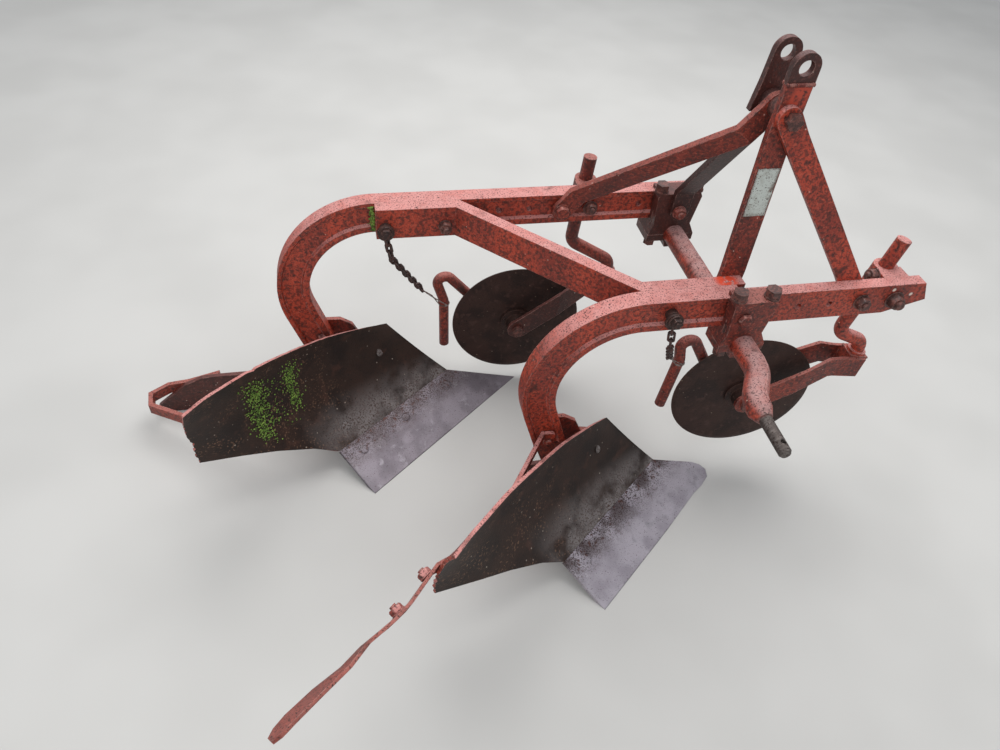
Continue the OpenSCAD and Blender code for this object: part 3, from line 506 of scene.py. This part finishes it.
def tube(bm, points, radii, sides=8):
    """Sweeps a round section along points of the frame. radii are in millimetres, one a point."""
    rows, side = [], Vector((0.3, 0.2, 0.9))
    for i, point in enumerate(points):
        heading = (points[min(i + 1, len(points) - 1)] - points[max(i - 1, 0)]).normalized()
        side = (side - heading * side.dot(heading)).normalized()
        other = heading.cross(side)
        turns = [2 * math.pi * k / sides for k in range(sides)]
        rows.append([bm.verts.new(point + (side * math.cos(a) + other * math.sin(a)) * radii[i] / 1000)
                     for a in turns])
    for low, high in zip(rows, rows[1:]):
        for k in range(sides):
            bm.faces.new((low[k], low[(k + 1) % sides], high[(k + 1) % sides], high[k]))
    bm.faces.new(rows[0][::-1])
    bm.faces.new(rows[-1])


# the forging line runs from left of the middle, along the right half and its crank, up to the neck
LINE_START, LINE_END, LINE_STEPS, LINE_TURN = -90, SHOULDER - NECK - 4, 80, math.radians(24)
throw_way = Vector((-math.cos(THROW_RISE), 0, math.sin(THROW_RISE)))
upright = Vector((math.sin(THROW_RISE), 0, math.cos(THROW_RISE)))
path = []
for k in range(LINE_STEPS + 1):
    out = LINE_START + k * (LINE_END - LINE_START) / LINE_STEPS
    slope = (throw_at(out + 1) - throw_at(out - 1)) / 2
    across_bar = (throw_way - Vector(RIGHT) * slope).normalized()
    middle = Vector((SHAFT_X, HITCH_Y - out, SHAFT_Z)) + throw_way * throw_at(out)
    outward = upright * math.cos(LINE_TURN) - across_bar * math.sin(LINE_TURN)
    path.append(spot(*(middle + outward * SHAFT_RADIUS)))
bm = bmesh.new()
tube(bm, path, [1.5 + 0.4 * noise.noise(q * 90) for q in path])
piece("shaft_forging_line", bm, "frame", "red_paint", hitched, smooth=60)


# Bolts of the mast's feet and braces
# The hexagon bolts and nuts that hold the lower ends of the mast's bars and braces, painted over with
# the bars, with the columns of the nuts above.
bm = nuts([
    ((296, 343.2, 554), RIGHT, 14, 26, 9, 0, 0, 34),
    ((545, 315.2, 557), RIGHT, 7, 24, 10, 14, 5, 30),
    ((538, -28.1, 556), RIGHT, 25, 23, 8),
    ((543, 74.6, 552), LEFT, 5, 24, 11, 15, 7, 30),
])
piece("brace_foot_bolts", bm, "frame", "bolt_steel", brick_enamel)


# Blank plate
# A thin plate of soft aluminium, flat on the right face of the mast's rear leg. Whatever was on it has
# weathered away: the metal is chalky white, with brown stains creeping in from its edges.
plate_metal, shader = new_material("weathered_aluminium_sheet", Roughness=0.62, Metallic=0.15)
edge = rounded_edges(plate_metal, 6)[1]
tint = layered(plate_metal, linear("ccd2cb"), [
    (linear("a9aaa1"), spots(plate_metal, 18, 0.42, 0.72, 5)),
    (linear("6d5448"), spots(plate_metal, 30, 0.56, 0.7, 5)),
    (linear("59392f"), times(plate_metal, edge, spots(plate_metal, 8, 0.32, 0.5, 4))),
    (linear("4a332b"), spots(plate_metal, 2.4, 0.62, 0.7, 1)),
])
drive(plate_metal, shader, Base_Color=tint,
      Normal=bumps(plate_metal, spots(plate_metal, 12, 0.3, 0.7, 4), 0.6, 0.4))
dress(plate_metal, "blank_plate")


# Shares
# Hardened steel cutting edges, bolted to the frogs with plough bolts whose round heads sit flush. Soil
# keeps them bare: a lavender grey metal, dull with fine pits, and brown rust along the seam. The front
# one was scoured last and is brighter.
share_steel, shader = new_material("scoured_share_steel", Roughness=0.44, Metallic=0.5)
place = add(share_steel, "ShaderNodeTexCoord").outputs["Object"]
xyz = add(share_steel, "ShaderNodeSeparateXYZ", {0: place}).outputs
by_seam = ramp(share_steel, xyz["Z"], 0.020, 0.047, smooth=True)
scoured = ramp(share_steel, xyz["Y"], 0.068, 0.05)
soft = rounded_edges(share_steel, 1.5)[0]
tint = layered(share_steel, linear("8f878e"), [
    (linear("776f76"), spots(share_steel, 60, 0.38, 0.66, 4)),
    (linear("b9b1b9"), scoured),
    (linear("a199a1"), times(share_steel, scoured, spots(share_steel, 60, 0.38, 0.66, 4))),
    (linear("a09aa0"), spots(share_steel, 25, 0.58, 0.75, 3)),
    (linear("5f5456"), times(share_steel, by_seam, spots(share_steel, 50, 0.36, 0.6, 5))),
    (linear("5a3a34"), times(share_steel, by_seam, spots(share_steel, 9, 0.56, 0.68, 4))),
    (linear("40312f"), spots(share_steel, 2.2, 0.62, 0.72, 2)),
    (linear("3a2a28"), times(share_steel, by_seam, spots(share_steel, 2.6, 0.48, 0.62, 2))),
])
drive(share_steel, shader, Base_Color=tint,
      Normal=bumps(share_steel, spots(share_steel, 2.6, 0.5, 0.72, 3), 0.5, 0.4, soft, sunk=True))
dress(share_steel, "front_share", "rear_share")

SHARE_TIP = Vector((697, 56, 0))
SHARE_ANGLE, SHARE_SLOPE = math.radians(39.4), math.radians(23)
SHARE_LENGTH, SHARE_WIDTH = 509, 126
edge_line = Vector((math.cos(SHARE_ANGLE), math.sin(SHARE_ANGLE), 0))
up_slope = Vector((-math.cos(SHARE_SLOPE) * math.sin(SHARE_ANGLE),
                   math.cos(SHARE_SLOPE) * math.cos(SHARE_ANGLE), math.sin(SHARE_SLOPE)))
share_face = edge_line.cross(up_slope)
BOTTOMS = {"front": Vector((0, 0, 0)), "rear": Vector((-SET_BACK, SIDESTEP, 0))}


def share_point(u, v):
    """A point on the top of the front share: u forward along its edge from the tip, v up the slope."""
    return SHARE_TIP + edge_line * u + up_slope * v


HEAD = 10


def flush_head(bm, point, axis):
    """The round head of a plough bolt, a hair proud of the face, with a groove round it that wear has cut."""
    groove = [round_ring(HEAD + 1.3, -0.4), round_ring(HEAD + 1.1, 0.25), round_ring(HEAD + 0.2, 0.3)]
    crown = [round_ring(HEAD, 0.1), round_ring(HEAD - 0.8, 0.9), round_ring(HEAD * 0.5, 1.2)]
    skin_over(bm, groove + crown, standing(*point, axis))


for which, step in BOTTOMS.items():
    bm = bmesh.new()
    for along_edge in (-170, -320, -457):
        flush_head(bm, share_point(along_edge, 95) + step, share_face)
    piece(which + "_share_bolts", bm, "frame", "share_steel", share_steel)


# Moldboards
# Curved sheets of soft-centre steel, hot pressed, bolted to the frogs above the shares. The face was once
# scoured bright and is now dark brown, still grey beside the share where the soil last wore it, partly bare
# steel and partly painted sheen, with lichen specks. Rim and back keep their red paint, the rim's paler
# enamel a painted highlight along the edge. The tail edges are eaten away by rust.
def seam(k):
    """A point along the upper edge of the share."""
    head = -SHARE_WIDTH * math.cos(SHARE_SLOPE) * math.cos(SHARE_ANGLE) / math.sin(SHARE_ANGLE)
    return share_point(head * (1 - k) + (5 - SHARE_LENGTH) * k, SHARE_WIDTH + 0.2)


# columns: lower edge, upper edge, depth of the hollow, from the shin to the tail
STATIONS = [
    (seam(0), Vector((366, 56, 222)), 3),
    (seam(0.25), Vector((309, 7, 256)), 24),
    (seam(0.5), Vector((257, -38, 285)), 36),
    (seam(0.75), Vector((210, -82, 308)), 42),
    (seam(1), Vector((158, -130, 330)), 42),
    (Vector((180, -189, 86)), Vector((90, -196, 350)), 36),
    (Vector((106, -216, 124)), Vector((30, -256, 362)), 26),
    (Vector((39, -242, 152)), Vector((0, -286, 364)), 18),
    (Vector((-55, -268, 174)), Vector((-26, -313, 361)), 12),
]
TAIL = len(STATIONS) - 1
THICK, LAND_PLANE = 7, 55.9


def between(column, s):
    """A column of the stations at s, smoothly between rows."""
    k = min(TAIL - 1, int(s))
    t = s - k
    a, b, c, d = [STATIONS[max(0, min(TAIL, k + i))][column] for i in (-1, 0, 1, 2)]
    bend, twist = 2 * a - 5 * b + 4 * c - d, 3 * b - a - 3 * c + d
    return b + (c - a) * (t / 2) + bend * (t * t / 2) + twist * (t**3 / 2)


def lower(s):
    """The lower edge at s, straight between rows."""
    k = min(TAIL - 1, int(s))
    return STATIONS[k][0].lerp(STATIONS[k + 1][0], s - k)


def board_point(s, t, depth):
    """A point at station s and height t from 0 to 1, at a depth in millimetres behind the face."""
    a, b = max(0, s - 0.5), min(TAIL, s + 0.5)
    low = lower(s)
    chord = between(1, s) - low
    run = (lower(b) + between(1, b) - lower(a) - between(1, a)) / 2
    back = run.cross(chord).normalized()
    hollow = between(2, s)
    face = (back * chord.length - chord.normalized() * 4 * hollow * (1 - 2 * t)).normalized()
    return low + chord * t + back * 4 * hollow * t * (1 - t) + face * depth


def outward_at(s, t):
    """The way out of the face at station s and height t."""
    return board_point(s, t, 0) - board_point(s, t, THICK)


board_rust, shader = new_material("moldboard_steel_browned", Specular_IOR_Level=0.3)
along = add(board_rust, "ShaderNodeAttribute", attribute_name="along").outputs["Fac"]
height = add(board_rust, "ShaderNodeAttribute", attribute_name="height").outputs["Fac"]
near_seam = times(board_rust, ramp(board_rust, height, 0.42, 0.02, smooth=True),
                  ramp(board_rust, along, 5.2, 3.0, smooth=True))
# painted sheen: the grey beside the share is partly steel kept bare by the soil and partly a painted satin
# highlight
rubbed_and_sheen = times(board_rust, near_seam, spots(board_rust, 55, 0.30, 0.58, 5))
lichen = times(board_rust, dots(board_rust, 17, 1.9), spots(board_rust, 60, 0.45, 0.6))
flecked = times(board_rust, ramp(board_rust, along, 2.2, 3.4), spots(board_rust, 45, 0.40, 0.6, 3))
soft = rounded_edges(board_rust, 2)[0]
tint = layered(board_rust, linear("34241d"), [
    (linear("251a16"), spots(board_rust, 70, 0.4, 0.65, 5)),
    (linear("452d24"), spots(board_rust, 28, 0.55, 0.75, 5)),
    (linear("6b4f3e"), times(board_rust, flecked, spots(board_rust, 5, 0.56, 0.66, 3))),
    (linear("7c7573"), rubbed_and_sheen),
    (linear("4a3833"), times(board_rust, rubbed_and_sheen, spots(board_rust, 4, 0.48, 0.62, 3))),
    (linear("1f1715"), spots(board_rust, 3, 0.60, 0.72, 2)),
    (linear("a8998c"), lichen),
])
drive(board_rust, shader, Base_Color=tint, Roughness=ramp(board_rust, rubbed_and_sheen, 0, 1, 0.55, 0.38),
      Normal=bumps(board_rust, spots(board_rust, 4, 0.3, 0.7, 4), 0.5, 0.35, soft))

COLUMNS, ROWS = 110, 40
NOTCH_DEPTH, NOTCH_WIDTH, RIM_SLANT = 0.022, 0.06, 0.014


def moldboard(name, step, tail_bite, notch, *stood_for):
    """A pressed board with dents, a rusted tail edge and a notch in its upper edge at station notch."""
    bm = bmesh.new()
    along_layer = bm.verts.layers.float.new("along")
    height_layer = bm.verts.layers.float.new("height")
    sheets = []
    for depth in (0, THICK):
        sheet = []
        for i in range(COLUMNS + 1):
            for j in range(ROWS + 1):
                t = j / ROWS
                coarse, fine = noise.noise(Vector((t * 14, 3.1, 0))), noise.noise(Vector((t * 37, 7.7, 0)))
                end = TAIL - 0.06 - tail_bite(t) - (0.07 * coarse + 0.04 * fine)
                s = end * i / COLUMNS
                cut = NOTCH_DEPTH * math.exp(-(((s - notch) / NOTCH_WIDTH) ** 2))
                wear = 0.006 * noise.noise(Vector((s * 5, 1.7, 0)))
                t *= 1 - cut - abs(wear)
                if depth and j == ROWS:
                    t -= RIM_SLANT
                dent = 1.6 * noise.noise(Vector((s * 0.9, t * 2.2, 5))) * min(1, s) * min(1, 4 * t)
                point = board_point(s, t, depth + dent)
                point.y = min(point.y, LAND_PLANE)
                vert = bm.verts.new(spot(*(point + step)))
                vert[along_layer], vert[height_layer] = s, t
                sheet.append(vert)
        sheets.append(sheet)
    front, rear = sheets
    n = ROWS + 1
    for i in range(COLUMNS):
        for j in range(ROWS):
            a = i * n + j
            bm.faces.new((front[a], front[a + n], front[a + n + 1], front[a + 1]))
            bm.faces.new((rear[a], rear[a + 1], rear[a + n + 1], rear[a + n])).material_index = 1
    rim = ([i * n for i in range(COLUMNS)] + [COLUMNS * n + j for j in range(ROWS)]
           + [i * n + ROWS for i in range(COLUMNS, 0, -1)] + [j for j in range(ROWS, 0, -1)])
    for a, b in zip(rim, rim[1:] + rim[:1]):
        bm.faces.new((front[b], front[a], rear[a], rear[b])).material_index = 2
    # the back takes the darker enamel and the rim the paler one, a painted highlight along the edge
    made = piece(name, bm, "frame", "brown_rust", board_rust, brick_enamel, red_enamel, smooth=50)
    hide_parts(*stood_for)


def step_bite(t):
    """The lower part of the rear board's tail has rusted away in a step."""
    return 0.12 / (1 + math.exp((t - 0.42) * 40))


moldboard("front_board", BOTTOMS["front"], lambda t: 0.0, 6.9, "front_moldboard")
moldboard("rear_board", BOTTOMS["rear"], step_bite, 5.0, "rear_moldboard")

# flush bolts, two through each landside and three through each board
for which, step in BOTTOMS.items():
    bm = bmesh.new()
    for x, z in ((290, 52), (395, 52)):
        flush_head(bm, Vector((x, LAND_PLANE, z)) + step, LEFT)
    for s, t in ((1.2, 0.08), (3.4, 0.12), (1.0, 0.62)):
        flush_head(bm, board_point(s, t, 0) + step, outward_at(s, t))
    piece(which + "_board_bolts", bm, "frame", "brown_rust", board_rust)


# Moss
# Cushion moss that has taken hold where the rear board stays wet, in two streaks down its face with a
# few tufts between them, and in the corner between the left beam and the end of the diagonal brace.
moss_green, shader = new_material("cushion_moss", Roughness=0.95)
drive(moss_green, shader, Base_Color=layered(moss_green, linear("5a7630"), [
    (linear("8aa84c"), spots(moss_green, 5, 0.42, 0.62, 3)),
    (linear("3f5026"), spots(moss_green, 12, 0.5, 0.7, 3)),
    (linear("7b7447"), spots(moss_green, 8, 0.62, 0.72, 3)),
]))


def tuft(bm, point, axis, size, dice):
    """A little clump of moss, in millimetres, sitting on a surface that faces along the axis."""
    place = standing(*point, axis, dice.uniform(0, 360))
    sides = 6
    low = [p * dice.uniform(0.8, 1.2) for p in round_ring(size, -0.3, sides)]
    high = [p * dice.uniform(0.6, 1.1) for p in round_ring(size * 0.6, size * 0.7, sides)]
    skin_over(bm, [low, high], place)


dice = random.Random(11)
bm = bmesh.new()
# columns: station and height at the top and at the foot of a streak, its spread, how many tufts
for top_s, top_t, foot_s, foot_t, spread, count in (
    (5.10, 0.82, 5.89, 0.18, 0.17, 620),
    (4.10, 0.86, 4.32, 0.47, 0.11, 330),
    (4.5, 0.8, 5.3, 0.3, 0.45, 130),
):
    for _ in range(count):
        k = dice.uniform(-0.04, 1.04)
        s = top_s + (foot_s - top_s) * k + dice.gauss(0, spread)
        t = top_t + (foot_t - top_t) * k + dice.gauss(0, 0.03)
        if 0.05 < t < 0.96 and s < 7.5:
            root = board_point(s, t, -1.2) + BOTTOMS["rear"]
            tuft(bm, root, outward_at(s, t), dice.uniform(0.7, 2.2), dice)
piece("rear_board_moss", bm, "frame", "brown_rust", moss_green, smooth=80)

bm = bmesh.new()
for _ in range(150):
    x, z = dice.gauss(-92, 2.5), dice.uniform(522, 578)
    tuft(bm, Vector((x, 355.4, z)), RIGHT, dice.uniform(0.8, 2.6), dice)
piece("beam_moss", bm, "frame", "red_paint", moss_green, smooth=80)


# Coulter discs and hubs
# Discs of flat rolled steel with a sharpened rim, riveted between two cast flanges that turn on the axle
# bolt. Blade and hub are covered by one even dark brown rust, finer than the scale on the nuts.
disc_rust, shader = new_material("disc_steel_browned", Roughness=0.58, Specular_IOR_Level=0.3)
lichen = times(disc_rust, dots(disc_rust, 13, 1.5), spots(disc_rust, 45, 0.5, 0.6))
soft, edge = rounded_edges(disc_rust, 2)
tint = layered(disc_rust, linear("3a2620"), [
    (linear("2a1b17"), spots(disc_rust, 50, 0.4, 0.66, 5)),
    (linear("46302a"), spots(disc_rust, 16, 0.55, 0.7, 5)),
    (linear("5d4036"), edge),
    (linear("1d1513"), spots(disc_rust, 3, 0.6, 0.72, 2)),
    (linear("93806f"), lichen),
])
drive(disc_rust, shader, Base_Color=tint,
      Normal=bumps(disc_rust, spots(disc_rust, 4, 0.3, 0.7, 4), 0.5, 0.4, soft))
dress(disc_rust, "front_disc", "rear_disc", "front_hub", "rear_hub")

RIVETS, RIVET_CIRCLE, FLANGE_FACE = 4, 0.031, 0.008
for which in ("front", "rear"):
    spin = joints[which + "_disc_spin"]
    centre, axle = Vector(spin["pos_m"]), Vector(spin["axis"]).normalized()
    place = Matrix.Translation(centre) @ axle.to_track_quat("Z", "Y").to_matrix().to_4x4()
    bm = bmesh.new()
    for k in range(RIVETS):
        around = Matrix.Rotation(math.radians(360 / RIVETS * k + 20), 4, "Z")
        for side in (1, -1):
            on_flange = Matrix.Translation((RIVET_CIRCLE, 0, FLANGE_FACE * side))
            flip = Matrix.Rotation(0 if side > 0 else math.pi, 4, "X")
            skin_over(bm, [round_ring(4.4, -0.5), round_ring(4.4, 0.6), round_ring(3.4, 2.2),
                           round_ring(1.5, 2.9)], place @ (around @ on_flange) @ flip)
    piece(which + "_hub_rivets", bm, which + "_blade", "brown_rust", disc_rust)


# Wire ties
# A turn of soft galvanised wire ties the last link of each chain to the bend of the weed rod. It gives a
# little as the coulter swivels; here it is one fixed mesh that rides on no body.
tie_wire, shader = new_material("galvanised_tie_wire", Roughness=0.5, Metallic=0.4)
drive(tie_wire, shader, Base_Color=layered(tie_wire, linear("9a8f8a"), [
    (linear("6b4a40"), spots(tie_wire, 10, 0.45, 0.6, 3)),
]))

LINK_PITCH, LINKS_TO_KNEE = 18.9, 3
ROD_RADIUS, ROD_BACK, ROD_ASIDE, ROD_LEAN = 12, 180.5, 18, 0.09
WIRE, TIE_RISE, TIE_SAG, COIL_STEPS, COIL_RISE = 1.3, 40, 0.004, 24, 0.0028
# columns: coulter, bolt that the chain hangs from, where it heads, its links, how high its rod is bent
for which, bolt, to, links_in_all, lift in (
    ("front", Vector((410, 0, 554)), Vector((500, 100, 326)), 10, 16),
    ("rear", Vector((-69, 329.5, 545)), Vector((58, 453, 230)), 13, 0),
):
    knee = bolt + Vector((0, -12, -14)) + Vector((10, 3, -56)).normalized() * LINKS_TO_KNEE * LINK_PITCH
    run = (to - knee).normalized()
    hooked = spot(*(knee + run * (LINK_PITCH * (links_in_all - LINKS_TO_KNEE) - 2)))
    side_way = Vector(joints[which + "_disc_spin"]["axis"])
    up_way = Vector(joints[which + "_coulter_swivel"]["axis"])
    fore_way = side_way.cross(up_way)
    hub = Vector(joints[which + "_disc_spin"]["pos_m"])
    to_rod = fore_way * (lift / 2 - ROD_BACK) + side_way * ROD_ASIDE + up_way * (lift + TIE_RISE)
    around = hub + to_rod / 1000
    rod_way = (fore_way * ROD_LEAN - up_way).normalized()
    out = (hooked - around) - rod_way * (hooked - around).dot(rod_way)
    out.normalize()
    other = rod_way.cross(out)
    path = [hooked + (around - hooked) * share + Vector((0, 0, -TIE_SAG * math.sin(math.pi * share)))
            for share in (0, 0.2, 0.4, 0.6)]
    for k in range(COIL_STEPS + 1):
        turn = math.radians(-70 + 18 * k)
        path.append(around + (out * math.cos(turn) + other * math.sin(turn)) * (ROD_RADIUS + WIRE) / 1000
                    + rod_way * (COIL_RISE * k / COIL_STEPS))
    path.append(hooked.lerp(around, 0.5) + other * 0.004)
    path.append(hooked + other * 0.003)
    bm = bmesh.new()
    tube(bm, path, [WIRE] * len(path))
    made = shaped(which + "_chain_tie", bm, tie_wire, smooth=60)
    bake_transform(made)


# Welds
# Stick welded beads, rippled and a little lumpy, painted over: under the right ear of the mast and where
# the fork arms meet their collars. Points lie 1 mm apart, and a ripple takes 3 mm.
RIPPLE = 2.1


def bead(bm, start, end, radius, seed):
    """A weld bead along a line, in millimetres."""
    count = max(6, int((end - start).length))
    path = [spot(*start.lerp(end, k / count)) for k in range(count + 1)]
    radii = [radius * (0.86 + 0.14 * math.cos(RIPPLE * k) + 0.25 * noise.noise(Vector((k * 0.23, seed, 0))))
             for k in range(count + 1)]
    radii[0] = radii[-1] = radius * 0.4
    tube(bm, path, radii, 10)


bm = bmesh.new()
for y, seed in ((91.3, 1.0), (103.7, 5.0)):
    bead(bm, Vector((536, y, 931)), Vector((586, y, 932)), 3.8, seed)
piece("ear_welds", bm, "frame", "red_paint", brick_enamel, smooth=60)

ARM_SIDE, COLLAR_TOP, COLLAR_REACH = 18.4, 21.5, 21
for which in ("front", "rear"):
    swivel = joints[which + "_coulter_swivel"]
    up_way, side_way = Vector(swivel["axis"]), Vector(joints[which + "_disc_spin"]["axis"])
    fore_way = side_way.cross(up_way)
    middle = Vector(swivel["pos_m"])
    bm = bmesh.new()
    for side in (1, -1):
        line = [middle + (fore_way * x + side_way * ARM_SIDE * side + up_way * COLLAR_TOP) / 1000
                for x in range(-COLLAR_REACH, COLLAR_REACH + 1)]
        radii = [2.6 * (0.85 + 0.15 * math.cos(RIPPLE * k) + 0.2 * noise.noise(Vector((k * 0.3, side, 2))))
                 for k in range(len(line))]
        tube(bm, line, radii)
    piece(which + "_fork_welds", bm, which + "_fork", "red_paint", brick_enamel, smooth=60)
